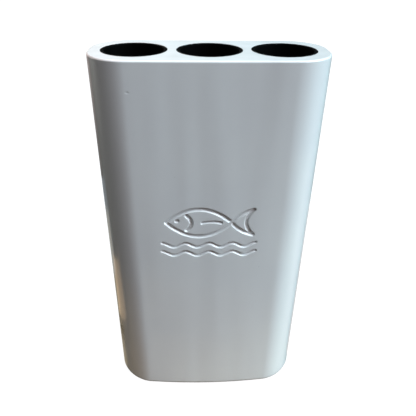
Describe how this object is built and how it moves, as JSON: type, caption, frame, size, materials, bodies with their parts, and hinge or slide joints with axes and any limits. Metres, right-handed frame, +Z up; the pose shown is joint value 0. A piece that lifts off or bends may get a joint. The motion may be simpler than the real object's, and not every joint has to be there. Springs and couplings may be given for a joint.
{
  "type": "fishing rod holder",
  "caption": "Upright white moulded rod holder with a row of black-lined round bores in its flat deck, a crowned front, a flat back to bolt on and drains in its base.",
  "frame": {"origin": "centre of the underside, under the middle of the object's box", "axes": "+Z up along the bores, +X to the right seen from the front, -Y the crowned front with the emblem, +Y the flat back"},
  "size_m": [0.186, 0.0745, 0.325],
  "materials": {
    "gelcoat": "glossy white gelcoat over glass laminate",
    "laminate": "bare cast glass laminate",
    "liner": "semi-gloss black pipe",
    "sealant": "cured black sealant",
    "rubber": "matt black rubber",
    "acetal": "turned black acetal",
    "stainless": "turned stainless steel"
  },
  "bodies": {
    "root": {"casing": "gelcoat", "base_plate": "gelcoat", "base_gasket": "rubber", "base_screw_front_left": "stainless", "base_screw_front_right": "stainless", "base_screw_rear_left": "stainless", "base_screw_rear_right": "stainless", "base_screw_left_end": "stainless", "base_screw_right_end": "stainless", "liner_tube_left": "liner", "liner_tube_middle": "liner", "liner_tube_right": "liner", "liner_seal_left": "sealant", "liner_seal_middle": "sealant", "liner_seal_right": "sealant", "butt_plug_left": "rubber", "butt_plug_middle": "rubber", "butt_plug_right": "rubber", "drain_bush_left": "acetal", "drain_bush_middle": "acetal", "drain_bush_right": "acetal", "tube_spacer": "laminate", "mount_block_lower_left": "laminate", "mount_block_lower_right": "laminate", "mount_block_upper_left": "laminate", "mount_block_upper_right": "laminate", "mount_insert_lower_left": "stainless", "mount_insert_lower_right": "stainless", "mount_insert_upper_left": "stainless", "mount_insert_upper_right": "stainless"}
  },
  "joints": []
}
